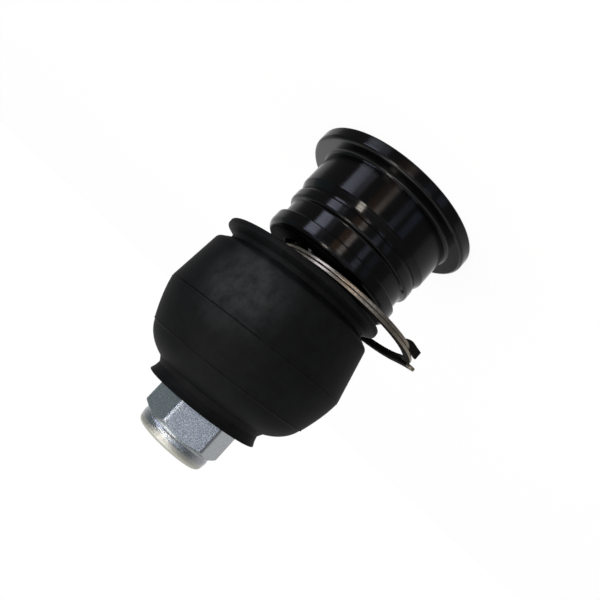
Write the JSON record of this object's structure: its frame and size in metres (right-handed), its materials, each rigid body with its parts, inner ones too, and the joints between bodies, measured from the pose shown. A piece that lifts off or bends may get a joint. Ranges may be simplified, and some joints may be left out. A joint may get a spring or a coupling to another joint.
{
  "type": "suspension ball joint",
  "caption": "Press-in suspension ball joint: flanged housing, tapered ball stud, rubber dust boot, loose boot ring and lock nut.",
  "frame": {"origin": "middle of the flange's outer face, the closed end of the housing", "axes": "+Z along the stud's axis, from the flange towards the lock nut; -X towards the side where the loose boot ring hangs out furthest"},
  "size_m": [0.0665, 0.0562, 0.0924],
  "materials": {
    "housing_steel": "glossy black coat over a turned surface",
    "closing_steel": "bare steel, lightly oiled",
    "spring_steel": "bare spring steel",
    "seat_polymer": "natural acetal",
    "stud_steel": "ground steel",
    "boot_rubber": "matt moulded rubber",
    "zinc_plate": "bright zinc plate",
    "insert_polymer": "dark nylon"
  },
  "bodies": {
    "housing": {"housing": "housing_steel", "closing_ring": "closing_steel", "disc_spring": "spring_steel"},
    "seat": {"ball_seat": "seat_polymer", "pressure_pad": "seat_polymer"},
    "boot": {"dust_boot": "boot_rubber", "boot_ring": "spring_steel"},
    "stud": {"ball_stud": "stud_steel", "lock_nut": "zinc_plate", "nut_insert": "insert_polymer"}
  },
  "joints": [
    {"name": "seat_turn", "type": "hinge", "parent": "housing", "child": "seat", "pos_m": [0, 0, 0.017], "axis": [0, 0, 1], "continuous": true},
    {"name": "stud_swing", "type": "hinge", "parent": "seat", "child": "boot", "pos_m": [0, 0, 0.017], "axis": [0.1564, -0.9877, 0], "range_deg": [0, 18]},
    {"name": "stud_spin", "type": "hinge", "parent": "boot", "child": "stud", "pos_m": [0, 0, 0.017], "axis": [0, 0, 1], "continuous": true}
  ]
}
